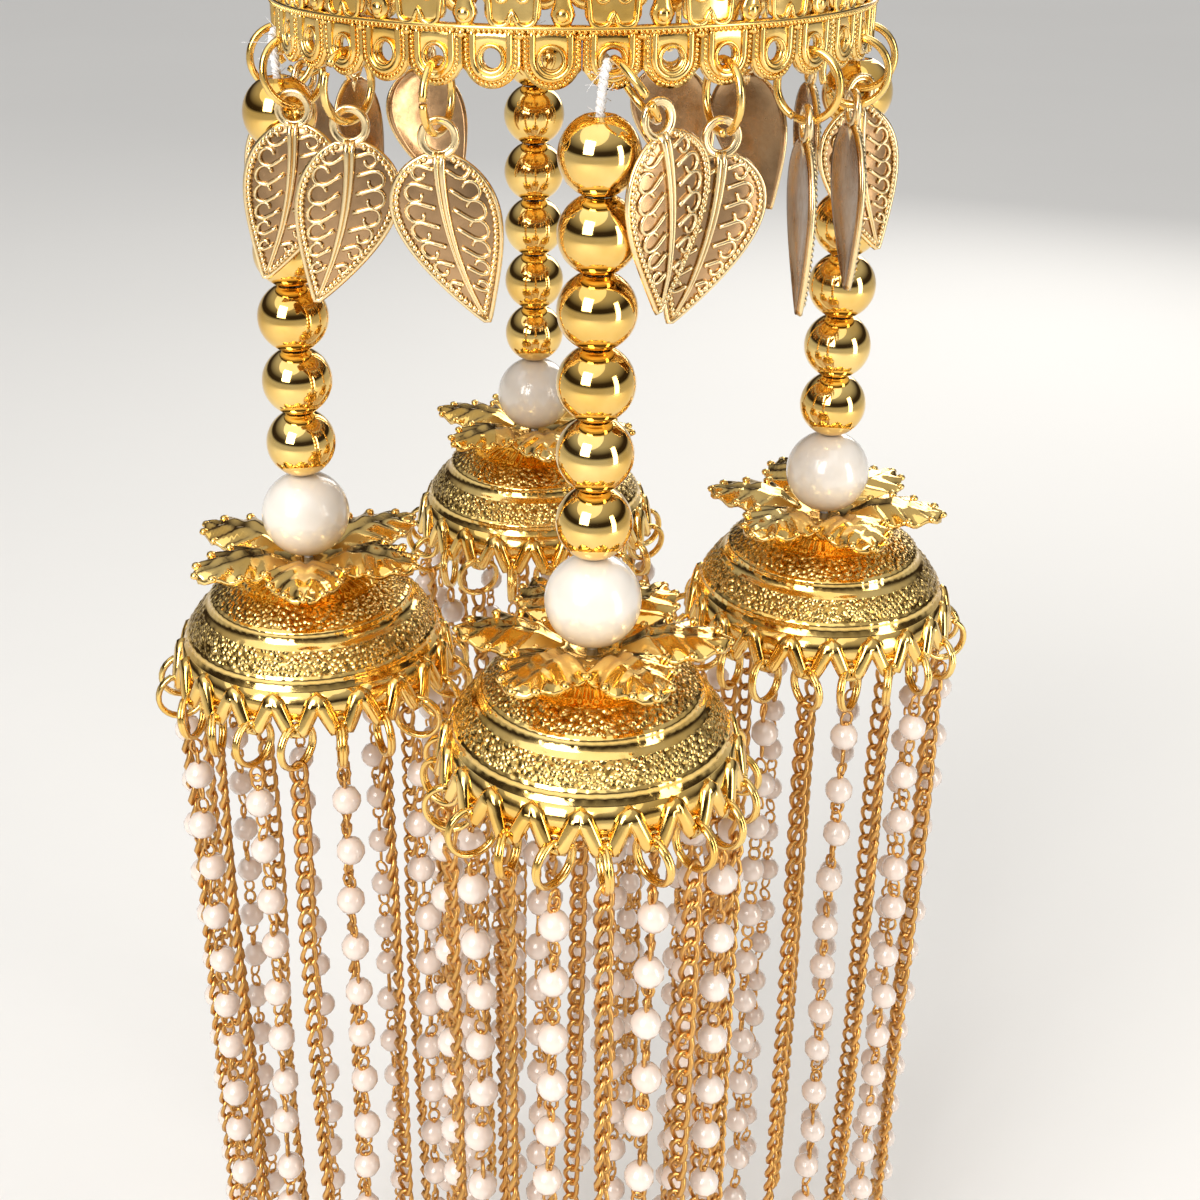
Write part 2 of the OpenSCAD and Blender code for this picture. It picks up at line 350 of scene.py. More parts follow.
class Finish:
    """A node material under construction: Principled shader, object coordinates."""

    def __init__(self, name):
        self.mat = bpy.data.materials.new(name)
        self.mat.use_nodes = True
        self.nodes, self.links = self.mat.node_tree.nodes, self.mat.node_tree.links
        self.shader = self.nodes["Principled BSDF"]
        self.where = self.add("ShaderNodeTexCoord").outputs["Object"]

    def add(self, kind, **values):
        """A new node with these settings."""
        node = self.nodes.new(kind)
        for key, value in values.items():
            setattr(node, key, value)
        return node

    def feed(self, node, **values):
        """Sets a node's inputs by name, each from a number or from a node's output."""
        for key, value in values.items():
            socket = node.inputs[key.replace("_", " ")]
            if isinstance(value, bpy.types.NodeSocket):
                self.links.new(value, socket)
            else:
                socket.default_value = value
        return node

    def set(self, **values):
        """Sets the shader's inputs."""
        self.feed(self.shader, **values)

    def noise(self, scale, detail=3.0, rough=0.5):
        """Fractal noise at this many waves a metre."""
        node = self.add("ShaderNodeTexNoise")
        self.feed(node, Scale=scale, Detail=detail, Roughness=rough, Vector=self.where)
        return node.outputs["Fac"]

    def cells(self, scale):
        """Distance from the nearest cell's middle, this many cells a metre."""
        node = self.add("ShaderNodeTexVoronoi", feature="F1")
        return self.feed(node, Scale=scale, Vector=self.where).outputs["Distance"]

    def between(self, value, low, high, in_low=0.0, in_high=1.0):
        """The value carried from in_low..in_high to low..high in a straight line."""
        node = self.add("ShaderNodeMapRange")
        self.feed(node, From_Min=in_low, From_Max=in_high, To_Min=low, To_Max=high, Value=value)
        return node.outputs["Result"]

    def blend(self, share, first, second):
        """The first colour where the share is 0, the second where it is 1."""
        n = self.add("ShaderNodeMix", data_type="RGBA")
        self.links.new(share, n.inputs[0])
        for socket, colour in ((n.inputs[6], first), (n.inputs[7], second)):
            if isinstance(colour, bpy.types.NodeSocket):
                self.links.new(colour, socket)
            else:
                socket.default_value = (*colour, 1)
        return n.outputs[2]

    def bump(self, heights, distance):
        """Heights from 0 to 1 as bump of this depth in metres."""
        node = self.add("ShaderNodeBump")
        self.feed(node, Strength=1.0, Distance=distance, Height=heights)
        self.set(Normal=node.outputs["Normal"])


def plated_gold(name, light, deep, polish, dent, dent_scale):
    """Plated metal: colour drifts between a light and a deep gold, polish is the
    lowest and highest roughness, and shallow dents break up the reflections."""
    f = Finish(name)
    drift = f.noise(110.0, 4.0, 0.6)
    wear = f.noise(900.0, 2.0)
    f.set(Base_Color=f.blend(f.between(drift, 0, 1, 0.35, 0.65), light, deep), Metallic=1.0,
          Roughness=f.between(wear, *polish, 0.3, 0.75))
    f.bump(f.noise(dent_scale, 2.0), dent)
    return f.mat


def stippled_gold(name, light, deep):
    """Hammered bands of the caps: small raised cells of a Voronoi pattern, whose colour
    darkens towards the pits between them as painted shade; noise varies the roughness."""
    f = Finish(name)
    pits = f.cells(1750.0)
    # painted shade: the colour darkens to a dimmed deep gold at the cells' edges, in the pits
    tone = f.blend(f.between(pits, 0, 1, 0.2, 0.75), light, dimmed(deep, 0.55))
    f.set(Base_Color=tone, Metallic=1.0, Roughness=f.between(f.noise(700.0), 0.14, 0.28, 0.3, 0.7))
    f.bump(f.between(pits, 1, 0, 0.1, 0.7), 0.00016)
    return f.mat


def pearl_finish(name, light, shade):
    """Pearl lacquer: a cream ground under a clear coat, with faint blotches."""
    f = Finish(name)
    f.set(Base_Color=f.blend(f.between(f.noise(170.0, 3.0), 0, 1, 0.3, 0.7), light, shade),
          Roughness=f.between(f.noise(420.0), 0.2, 0.3), Metallic=0.0)
    f.set(Subsurface_Weight=0.05, Subsurface_Scale=0.001, Subsurface_Radius=(1.0, 0.8, 0.7),
          Coat_Weight=1.0, Coat_Roughness=0.1, Specular_IOR_Level=0.7)
    f.bump(f.noise(1400.0, 2.0), 0.000008)
    return f.mat


def cotton_finish(name, colour):
    """Cotton thread: wound plies as a fine slanted wave, with fuzz in the colour."""
    f = Finish(name)
    wave = f.add("ShaderNodeTexWave", wave_type="BANDS", bands_direction="DIAGONAL")
    f.feed(wave, Scale=900.0, Distortion=3.0, Vector=f.where)
    tone = f.blend(f.between(f.noise(1500.0), 0, 1, 0.3, 0.7), colour, dimmed(colour, 0.8))
    f.set(Base_Color=tone, Roughness=0.95, Sheen_Weight=0.5)
    f.bump(wave.outputs["Fac"], 0.0001)
    return f.mat


def studio_air():
    """Surrounding light: a soft bright ceiling over a dark warm wall, with a pale band at
    the horizon that carries on the floor. The colour follows the sine of the height
    above the horizon."""
    world = bpy.data.worlds.new("studio")
    world.use_nodes = True
    nodes, links = world.node_tree.nodes, world.node_tree.links
    back = nodes["Background"]
    where = nodes.new("ShaderNodeTexCoord")
    split = nodes.new("ShaderNodeSeparateXYZ")
    ramp = nodes.new("ShaderNodeValToRGB")
    links.new(where.outputs["Generated"], split.inputs[0])
    links.new(split.outputs["Z"], ramp.inputs["Fac"])
    links.new(ramp.outputs["Color"], back.inputs["Color"])
    stops = ramp.color_ramp.elements
    stops[0].position, stops[0].color = 0.03, (0.85, 0.84, 0.82, 1)
    stops[1].position, stops[1].color = 1.0, (1.0, 1.0, 1.0, 1)
    stops.new(0.13).color = (0.045, 0.034, 0.025, 1)
    stops.new(0.3).color = (0.06, 0.045, 0.035, 1)
    stops.new(0.62).color = (0.75, 0.74, 0.72, 1)
    back.inputs["Strength"].default_value = 0.6
    return world


def floor_finish(name, colour):
    """Pale matt floor with a barely seen mottling."""
    f = Finish(name)
    f.set(Base_Color=f.blend(f.noise(3.0, 5.0), colour, dimmed(colour, 0.94)), Roughness=0.8)
    f.bump(f.noise(60.0, 4.0), 0.0002)
    return f.mat


def finish(slot):
    """The finish of one of the record's slots, made once. The frame has its own
    materials under the slots' names, so these are called after them."""
    name = f"{slot}_finish"
    found = bpy.data.materials.get(name)
    if found:
        return found
    tint = bpy.context.scene.kalire_finishes
    gold, deep, leaf = tuple(tint.gold), tuple(tint.deep_gold), tuple(tint.leaf_gold)
    painted_dark_ground, chain = tuple(tint.leaf_ground), tuple(tint.chain_gold)
    pearl, small = tuple(tint.pearl), tuple(tint.small_pearl)
    # light tone, deep tone, least and most roughness, depth and scale of the dents
    plated = {
        "crown_gold": (gold, deep, (0.12, 0.26), 0.00006, 420.0),
        "bead_gold": (gold, deep, (0.05, 0.1), 0.000012, 150.0),
        "cap_gold": (gold, deep, (0.08, 0.18), 0.00002, 500.0),
        "ring_gold": (gold, deep, (0.12, 0.22), 0.00002, 500.0),
        "leaf_gold": (leaf, dimmed(leaf, 0.86), (0.16, 0.3), 0.00003, 500.0),
        # leaf_ground: the sheet between the leaves' scrolls, a dark tone that is painted
        # reflection of dark surroundings
        "leaf_ground": (painted_dark_ground, dimmed(painted_dark_ground, 0.6), (0.16, 0.3), 0.00004, 420.0),
        "chain_gold": (chain, dimmed(chain, 0.8), (0.28, 0.42), 0.00002, 900.0),
    }
    if slot in plated:
        return plated_gold(name, *plated[slot])
    others = {
        "stippled_gold": lambda: stippled_gold(name, gold, deep),
        "pearl_white": lambda: pearl_finish(name, pearl, dimmed(pearl, (0.98, 0.95, 0.9))),
        "small_pearl": lambda: pearl_finish(name, small, dimmed(small, (0.97, 0.93, 0.9))),
        "thread_white": lambda: cotton_finish(name, tuple(tint.thread)),
    }
    return others[slot]()


def set_up(name, data, pose=None):
    """A new object in the scene, which stands as the matrix says."""
    obj = bpy.data.objects.new(name, data)
    if pose is not None:
        obj.matrix_world = pose
    bpy.context.scene.collection.objects.link(obj)
    return obj


def piece(name, shapes, slots, nodes=(), marked=None):
    """Makes an object of the shapes, in metres and at the origin, with smooth faces and
    one finish for each slot, and lets it ride on the root body in place of the nodes.
    marked names one more finish and, for each shape, which of its faces take it."""
    if isinstance(slots, str):
        slots = [slots] * len(shapes)
    kinds = list(dict.fromkeys(slots))
    which = np.concatenate([np.full(len(s[1]), kinds.index(k)) for s, k in zip(shapes, slots)])
    if marked is not None:
        kinds.append(marked[0])
        which = np.where(np.concatenate(marked[1]), len(kinds) - 1, which)
    points, faces = joined(shapes)
    # a triangle repeats its last point, or its first once it has been turned round
    keep = np.ones(faces.shape, bool)
    keep[faces[:, 2] == faces[:, 3], 3] = False
    keep[faces[:, 0] == faces[:, 1], 0] = False
    counts, loops = keep.sum(1), faces[keep]
    starts = np.concatenate([[0], np.cumsum(counts)[:-1]])
    mesh = bpy.data.meshes.new(name)
    mesh.vertices.add(len(points))
    mesh.vertices.foreach_set("co", (points * MM).astype(np.float32).ravel())
    mesh.loops.add(len(loops))
    mesh.loops.foreach_set("vertex_index", loops.astype(np.int32))
    mesh.polygons.add(len(counts))
    for k in kinds:
        mesh.materials.append(finish(k))
    columns = {"loop_start": starts, "loop_total": counts, "material_index": which}
    for column, values in columns.items():
        mesh.polygons.foreach_set(column, values.astype(np.int32))
    mesh.polygons.foreach_set("use_smooth", np.ones(len(counts), bool))
    mesh.update()
    mesh.validate()
    obj = set_up(name, mesh)
    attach(obj, "root")
    if nodes:
        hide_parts(*nodes)
    return obj


# ---- crown
def crown_shell():
    """Dome, rails and loop. The dome's line is r = R cos a, z = rise sin a, carried
    on as a thin wall, and everything is turned about the crown's axis."""
    rise = TIER_TOP - DOME_TOP
    a = np.linspace(0, math.pi / 2, 18)[:-1]
    top = stacked(WALL_R * np.cos(a), TIER_TOP - rise * np.sin(a))
    under = stacked((WALL_R - SHEET) * np.cos(a), TIER_TOP - SHEET - rise * np.sin(a))
    rim = np.array([[-SHEET, -1.2], [-0.1, -1.2], [0.25, -0.9], [0.3, -0.4], [0.05, -0.1]])
    middle = [[0.02, DOME_TOP], [0.02, DOME_TOP - SHEET]]
    dome = np.vstack([rim + (WALL_R, TIER_TOP), top, middle, under[::-1]])
    base = np.array([[-SHEET, -0.15], [0.25, -0.15], [0.42, 0], [0.42, 0.18], [0.2, 0.34],
                     [-SHEET, 0.34]]) + (WALL_R, TIER_BOTTOM)
    loop = turned(arc((LOOP_R, 0.0), LOOP_WIRE, 0, 345, 20), 72)
    grains = 396
    line = point_at(full_circle(grains), WALL_R + 0.36, TIER_BOTTOM - 0.16)
    return [turned(dome, 120), turned(base, 180), placed(loop, turn("x", 90)[0]),
            strewn(ball(0.21, 5, 3), line)]


def tongue_parts():
    """One tongue, flat: a plate round its hole, a half round U rib, a raised crescent
    round the hole, two lines of grains down its arms and round its foot, and a ball
    between it and the next."""
    half = 2.703
    a = around(40)
    dx, dz = np.sin(a), np.cos(a)
    top = TIER_BOTTOM - HOLE_Z + 0.1
    side = half / np.maximum(np.abs(dx), 1e-6)
    roof = np.where(dz > 1e-6, top / np.maximum(dz, 1e-6), 1e9)
    foot = np.where(side * dz < -0.9, TONGUE_R, 1e9)
    edge = np.minimum(np.minimum(side, roof), foot)
    base = moved(plate(edge, HOLE_R, SHEET, 3), 0, 0, HOLE_Z)
    u = np.vstack([[[-1.72, 2.45]], arc((0, 0), 1.72, 180, 360, 18), [[1.72, 2.45]]])
    rib = wire(even(u, 24) + (0, HOLE_Z), 0.05, 0.34, 7)
    q = around(24)
    crescent = stacked(1.2 * np.sin(q), 1.24 * np.cos(q) - 0.06 + HOLE_Z)
    rim = wire(crescent, 0.03, 0.2 - 0.09 * np.cos(q), 6, True)
    line = np.vstack([[[-2.34, 2.0]], arc((0, 0), 2.31, 180, 360, 20), [[2.34, 2.0]]])
    dots = flat_path(even(line, 27) + (0, HOLE_Z), 0.08)
    grains = strewn(ball(0.22, 5, 3, (1.0, 0.9, 0.85)), dots)
    head = moved(ball(0.4, 8, 5, (1.0, 0.7, 1.0)), half, 0.1, HOLE_Z + 2.1)
    return [base, rib, rim, grains, head]


def tier_parts():
    """One period of the upper tier, flat: a broad motif whose width narrows from its
    two round feet to the top, with a raised outline and two spiral volutes, and a
    narrow one between that widens upwards from a small bulb."""
    height = TIER_TOP - TIER_BOTTOM - 1.2
    t = np.linspace(0, 1, 20)
    z = TIER_BOTTOM + 0.3 + t * height
    lobe = np.sqrt(np.clip(1 - (np.clip(1.1 - t * height, 0, 2) / 1.1) ** 2, 0, 1))
    broad = 2.55 * (0.55 + 0.45 * lobe) - 1.35 * np.clip(t - 0.2, 0, 1) ** 0.9
    bulb = np.exp(-((t * height - 1.0) / 0.75) ** 2)
    narrow = 0.62 + 0.5 * bulb + 1.1 * np.clip(t - 0.15, 0, 1) ** 1.1

    def strip(widths, centre, crowned):
        """A motif's sheet, crowned across its width as 1 - s squared."""
        s = np.linspace(-1, 1, 7)
        face = stacked(centre + widths[:, None] * s, crowned * (1 - s ** 2), z[:, None])
        back = (face * (1, 0, 1) + (0, -0.6, 0))[:, ::-1]
        return capped(np.concatenate([face, back], 1))

    pitch = TAU * WALL_R / MOTIFS
    shapes = [strip(broad, 0, 0.12), strip(narrow, pitch / 2, 0.3)]
    for side in (-1, 1):
        edge = stacked(side * (broad - 0.22), z)
        ends = (200, 340) if side > 0 else (-20, -160)
        foot = arc((side * 1.15, TIER_BOTTOM + 1.15), 0.95, *ends, 10)
        shapes.append(wire(np.vstack([foot, edge[5:]]), 0.12, 0.26, 6))
        q = np.linspace(0, 1, 16)
        swirl = np.radians(90 + side * 20 + side * 400 * q)
        curl = stacked(side * 1.05 + (0.75 - 0.55 * q) * np.cos(swirl),
                       TIER_BOTTOM + 2.9 + (0.8 - 0.55 * q) * np.sin(swirl))
        shapes.append(wire(curl, 0.2, 0.2, 5))
        stem = stacked(side * (0.25 + 0.5 * q), TIER_BOTTOM + 3.6 + 4.2 * (1 - q))[::3]
        shapes.append(wire(stem, 0.16, 0.22, 5))
    cusp = np.array([[-0.5, 0.55], [0, 1.5], [0.5, 0.55]]) + (0, TIER_BOTTOM)
    return shapes + [wire(even(cusp, 9), 0.16, 0.24, 6),
                     moved(ball(0.62, 10, 7, (1, 0.6, 1)), pitch / 2, 0.2, TIER_BOTTOM + 1.2),
                     moved(ball(0.5, 8, 6, (0.8, 0.7, 1.5)), 0, 0.15, TIER_BOTTOM + 5.4)]


# ---- leaves
def leaf_half(t):
    """Half width of the leaf at a share t of its length: a skewed arch."""
    arch = np.sin(math.pi * np.power(np.clip(t, 0, 1), 0.65))
    return LEAF_W / 2 * np.power(np.clip(arch, 0, 1), 0.9)


def leaf_point(s, t, lift=0.0):
    """A point of the leaf's front: across s from -1 to 1, along t from 0 to 1. The
    middle line bends with t squared, each half is a shallow pillow, the tip bows."""
    half = leaf_half(t)
    x = LEAF_BEND * t ** 2 + s * half
    z = -t * LEAF_LEN - 1.4
    pillow = 0.42 * (1 - np.abs(s) ** 2.2) * np.minimum(1, half / 2.5)
    y = pillow - 0.35 * t ** 2 + lift
    return stacked(x, y, z)


def leaf_scrolls():
    """Raised scrolls of both halves. Each starts at the midrib, runs out along a
    straight line, and curls back on itself in a shrinking arc."""
    shapes = []
    q = np.linspace(0, 1, 12)
    for side, slant, round_off in ((-1, 16, 0.76), (1, -34, 0.82)):
        slant = math.radians(slant)
        ahead = np.array([math.cos(slant), math.sin(slant)])
        to_centre = np.array([-math.sin(slant), math.cos(slant)]) * side
        angle = slant - side * math.pi / 2 + side * math.radians(290) * q
        for k in range(7):
            t0 = 0.05 + k * 0.112
            room = float(leaf_half(np.array(t0 + 0.06)))
            if room < 1.3:
                continue
            curl = 0.27 * room * round_off
            start = np.array([0.16 * room, 0.0])
            end = start + 0.33 * room * ahead
            coil = arc_points(end + curl * to_centre, curl * (1 - 0.35 * q), angle)
            line = np.vstack([start + (end - start) * np.linspace(0, 0.7, 3)[:, None], coil])
            t = np.clip(t0 + 0.04 - line[:, 1] / LEAF_LEN, 0.02, 0.96)
            s = np.clip(line[:, 0] / leaf_half(t), -0.86, 0.86) * side
            taper = np.linspace(0.25, 0.19, len(t))
            shapes.append(tube(leaf_point(s, t, 0.14), taper, 5))
    return shapes


def leaf_shape():
    """One leaf in its own place: eye at the origin, tip down, front towards +Y here
    and turned to -Y when it is hung. Also which of its faces are the ground, the sheet between the
    scrolls that takes a painted dark reflection."""
    t = np.linspace(0.012, 0.988, 30)[:, None]
    s = np.sin(np.linspace(-1, 1, 13) * math.pi / 2)[None]
    front = leaf_point(s, t)
    body = sheet(front, front - (0, LEAF_SHEET, 0))
    tt = np.linspace(0.02, 0.985, 32)
    loop = np.vstack([leaf_point(-0.97, tt), leaf_point(0.97, tt[::-1])])
    rim = tube(loop, 0.27, 6, True)
    td = np.linspace(0.035, 0.93, 60)
    inset = 1 - 0.62 / np.maximum(leaf_half(td), 1.2)
    dots = even(np.vstack([leaf_point(-inset, td, 0.14), leaf_point(inset, td, 0.14)[::-1]]), 62)
    grains = strewn(ball(0.35, 5, 3), dots)
    tm = np.linspace(0.0, 0.97, 22)
    wide = 0.5 * (1 - 0.7 * tm)
    ribs = [tube(leaf_point(0, tm, 0.16) + stacked(k * wide * 0.6, 0, 0),
                 wide * (0.62 if k < 0 else 0.78), 6) for k in (-1, 1)]
    flange = [[EYE_HOLE_R, -0.28], [EYE_R - 0.25, -0.3], [EYE_R, -0.1], [EYE_R, 0.2],
              [EYE_R - 0.15, 0.42], [EYE_R - 0.38, 0.36], [EYE_HOLE_R + 0.28, 0.2],
              [EYE_HOLE_R + 0.16, 0.3], [EYE_HOLE_R, 0.2]]
    eye = placed(turned(flange, 24), turn("x", -90)[0])
    neck = [[0, 0.05, -1.5], [0, 0.1, -2.2], [0, 0.1, -3.2]]
    stalk = tube(neck, [0.9, 0.75, 0.3], 8, flat=0.5)
    relief = joined([rim, grains, eye, stalk, *ribs, *leaf_scrolls()])
    return joined([body, relief]), np.arange(len(body[1]) + len(relief[1])) < len(body[1])


def leaf_frames():
    """Where each ring and leaf hangs: the ring leans outwards and sideways from its
    seat in the tongue hole, and the leaf hangs from the foot of the ring. Gives the
    ring's seat and turn, the leaf's turn and eye, its twist and its tip's side."""
    for az, twist, tip, out, side, swing in LEAVES:
        tilt = math.tan(math.radians(out))
        seat_z = HOLE_Z - HOLE_R + RING_WIRE + 0.12 + LEAN_SEAT * tilt
        face, seat = turn("z", az)[0], point_at(az, HOLE_RING_R, seat_z)
        lean = turn("y", -side)[0] @ turn("x", -out)[0]
        drop = lean @ np.array([0, 0, -2 * RING_R])
        lift = EYE_HOLE_R - RING_WIRE - 0.42 - LEAN_LIFT * tilt
        eye = seat + face @ (drop - (0, 0, lift))
        yield seat, face @ lean, face @ turn("z", twist)[0] @ turn("y", swing)[0], eye, twist, tip


def hung_leaves():
    """All the leaves, and which of their faces are the ground between scrolls, darkened by painted
    reflection.
    """
    shape, painted_dark_ground = leaf_shape()
    shapes = []
    for _, _, hang, eye, _, tip in leaf_frames():
        # the template's front is +Y, and this mirror faces it to -Y
        mirror = np.diag([float(tip), -1.0, 1.0])
        shapes.append(placed(shape, hang @ mirror, eye))
    return shapes, [painted_dark_ground] * len(shapes)


def hung_rings():
    """Jump rings: a wire bent in a circle, with a small gap between its ends."""
    shapes = []
    for k, (seat, lean, _, _, twist, _) in enumerate(leaf_frames()):
        gap = 7 if k % 3 else 2
        a = np.radians(np.linspace(gap, 360 - gap, 44) + 70 + 37 * k)
        path = stacked(0, RING_R * np.cos(a), RING_R * np.sin(a) - RING_R)
        spin = lean @ turn("z", twist * RING_FOLLOW)[0]
        shapes.append(placed(tube(path, RING_WIRE, 9, up=ACROSS), spin, seat))
    return shapes


# ---- strings
def bead_shape():
    """A hollow gold bead: a sphere's line between two small pole collars, closed by
    its bore, turned about its own axis."""
    top = np.array([[1.72, 3.47], [1.62, 3.56], [1.5, BEAD_HALF], [1.1, BEAD_HALF],
                    [BEAD_BORE, 3.5]])
    line = np.vstack([top[::-1] * (1, -1), arc((0, 0), BEAD_R, -62, 62, 19), top])
    return turned(line, 30)


def string_beads(side):
    """The beads of one string, at even heights above its pearl."""
    z = PEARL_R + GAP + BEAD_HALF + np.arange(BEADS) * BEAD_PITCH
    return [on_string(side, strewn(bead_shape(), stacked(0, 0, z)))]


def pearl_shape():
    """A pearl, slightly flattened at its bored poles."""
    line = arc((0, 0), 1.0, -80, 80, 33) * (PEARL_R, PEARL_R - 0.01)
    return turned(np.vstack([line, [[0.6, 4.6]], [[0.6, -4.6]]]), 56)


def petal_shape():
    """One petal from the hub outwards: x runs along t, y across s. Its half width is a
    skewed arch with scallops, its height climbs a quarter sine and then droops, falls
    towards the edges and feathers into veins, and round lumps sit along its edge."""
    t = np.linspace(0.015, 0.985, 26)[:, None]
    s = np.sin(np.linspace(-1, 1, 19) * math.pi / 2)[None]
    length, width, waves = 11.7, 8.8, 4.5

    def surface(t, s):
        """The petal's upper side at a share t of its length and s of its half width."""
        arch = np.power(np.clip(np.sin(math.pi * np.power(t, 0.85)), 0, 1), 0.6)
        scallop = 1 + 0.06 * np.cos(TAU * waves * t) * np.clip(t * 3, 0, 1)
        x = t * length
        y = s * width / 2 * arch * scallop
        phase = TAU * (waves * t - 0.9 * np.abs(s) ** 1.3)
        veins = 0.32 * np.cos(phase) * np.abs(s) ** 0.6 * np.clip(t * 5, 0, 1)
        groove = 0.3 * np.exp(-((np.abs(s) - 0.22) / 0.13) ** 2) - 0.25 * np.exp(-(s / 0.12) ** 2)
        climb = 2.1 * np.sin(np.minimum(x / 5.5, 1) * math.pi / 2)
        climb = climb - 0.016 * np.clip(x - 5, 0, 9) ** 2
        z = climb - 0.95 * np.abs(s) ** 2.2 * arch + veins
        z = z + groove * np.clip(t * 5, 0, 1) * (1 - 0.4 * t)
        return stacked(x, y, z)

    front = surface(t, s)
    body = sheet(front, front - (0, 0, 0.55))
    along = np.arange(1, 5) / waves
    tip = surface(np.array([0.985]), 0.0)
    edge = np.concatenate([surface(along, 0.93), surface(along, -0.93), tip])
    lumps = strewn(ball(0.58, 7, 5, (1.0, 1.0, 0.75)), edge + (0, 0, -0.05))
    return joined([body, lumps])


def flower_parts(side):
    """A shallow hub cup under the pearl and six petals round it."""
    cup = [[0.8, -6.0], [2.6, -6.0], [3.7, -5.7], [4.1, -5.0], [3.95, -4.8], [3.3, -5.1],
           [2.4, -5.32], [0.8, -5.35]]
    petal = petal_shape()
    shapes = [turned(cup, 40)]
    for azimuth in full_circle(PETALS):
        spin = turn("z", PETAL_TURN[side] + azimuth)[0]
        shapes.append(placed(petal, spin, spin @ np.array([2.6, 0, -5.3])))
    return [on_string(side, joined(shapes))]


def cap_body():
    """The bell cap: its outer line turned about its axis, with flutes under the
    flower, two stippled bands set off by beaded lines, and a smooth band between.
    Two crossing waves lift the stippled bands square to the line; the third thing
    returned is true for their faces."""
    line = np.array([
        [0.8, -6.02], [2.4, -6.05], [4.0, -6.3], [5.4, -6.6], [5.55, -6.8], [7.7, -7.55],
        [7.95, -7.75], [8.1, -7.72], [8.3, -7.8], [10.2, -8.72], [11.45, -9.55], [11.62, -9.62],
        [11.7, -9.75], [11.6, -9.95], [11.85, -10.6], [12.15, -10.95], [12.3, -11.0],
        [12.45, -11.12], [13.55, -12.2], [14.4, -13.55], [14.62, -13.72], [14.72, -13.95],
        [14.62, -14.15], [14.95, -14.8], [15.2, -15.2]])
    fine = even(line, 66)
    inner = even(line - (0.6, 0.75), 9)[::-1]
    inner[:, 0] = np.maximum(inner[:, 0], 0.8)
    whole = np.vstack([fine, inner])
    outer, r = np.arange(len(whole)) < len(fine), whole[:, 0]

    def band(low, high, soft):
        """1 on the outer line between two radii, with soft ends, else 0."""
        return np.clip((r - low) / soft, 0, 1) * np.clip((high - r) / soft, 0, 1) * outer

    stipple, flute = band(8.3, 11.4, 0.2) + band(12.5, 14.5, 0.2), band(5.5, 7.9, 0.25)
    lines = (np.exp(-((r - 11.62) / 0.12) ** 2) + np.exp(-((r - 14.66) / 0.12) ** 2)) * outer

    def wobble(a, profile):
        """Waves along the line, split between radius and height by its slope."""
        w = np.sin(61 * a + 5.1 * profile[..., 1]) + np.sin(47 * a - 6.3 * profile[..., 1] + 1.0)
        rise = 0.05 * stipple[None] * w + 0.17 * flute[None] * np.abs(np.sin(22 * a))
        rise = rise + 0.06 * lines[None] * np.cos(66 * a)
        slope = np.clip(profile[..., 0] / 16, 0, 1)
        return rise * slope, rise * np.sqrt(1 - 0.8 * slope ** 2)

    points, faces = turned(whole, 220, wobble)
    rough = (stipple > 0.3)[faces % len(whole)].all(1)
    return points, faces, rough


def chevron_parts():
    """One of the cap's pointed tongues, flat: a plate round the eyelet down to the
    point, and the raised bar that runs up one side, over the notch's peak and down
    the next tongue."""
    half = math.pi * EYELET_RING_R / CHEVRONS
    top, shoulder, foot = 3.85, 2.9, -1.3
    corners = np.array([[-half, top], [half, top], [half, shoulder], [0.75, foot],
                        [-0.75, foot], [-half, shoulder]])
    a = around(30)
    ray = stacked(np.sin(a), np.cos(a))
    edge = np.full(len(a), 1e9)
    for p, q in zip(corners, np.roll(corners, -1, 0)):
        n = np.array([q[1] - p[1], p[0] - q[0]])
        n = n / np.linalg.norm(n) * np.sign(n @ p)
        facing = ray @ n
        reach = (n @ p) / np.maximum(facing, 1e-6)
        edge = np.where(facing > 1e-6, np.minimum(edge, reach), edge)
    base = moved(plate(edge, 0.62, 0.6, 3), 0, 0, -EYELET_DROP)
    ends, peak = -EYELET_DROP - 0.75, -EYELET_DROP + shoulder + 0.1
    bar = [[-1.95, ends], [-0.35, peak - 0.3], [0, peak], [0.35, peak - 0.3], [1.95, ends]]
    bar = even(np.array(bar) + (half, 0), 17)
    width = 0.98 - 0.2 * np.abs(np.linspace(-1, 1, 17)) ** 3
    ring = arc_points((0, -EYELET_DROP), 0.8, around(16))
    return joined([base, wire(bar, 0.1, width, 7, flat=0.75), wire(ring, 0.03, 0.18, 4, True)])


def cap_parts(side):
    """A bell cap with its skirt of tongues, and which of its faces are stippled."""
    azimuths = full_circle(CHEVRONS)
    skirt = wrapped(chevron_parts(), EYELET_RING_R, azimuths, 0.21, -EYELET_DROP)
    points, faces, rough = cap_body()
    both = on_string(side, joined([(points, faces), skirt]))
    return [both], [np.concatenate([rough, np.zeros(len(skirt[1]), bool)])]


def cap_ring_parts(side, rng):
    """Double wound rings: a wire turned twice round a circle while it moves sideways
    by its own width, each ring tipped a little."""
    a = np.radians(np.linspace(0, 712, 50))
    step = (a / a[-1] - 0.5) * 0.7
    path = stacked(step, CAP_RING_R * np.cos(a + 1.9), CAP_RING_R * np.sin(a + 1.9))
    ring = tube(path, CAP_RING_WIRE, 5, up=ACROSS)
    azimuths = full_circle(CHEVRONS)
    lean = turn("y", rng.uniform(-7, 7, CHEVRONS))
    spin_in = turn("z", rng.uniform(-42, 42, CHEVRONS))
    places = point_at(azimuths, EYELET_RING_R, -CAP_RING_DROP)
    return [on_string(side, copies(ring, turn("z", azimuths) @ spin_in @ lean, places))]


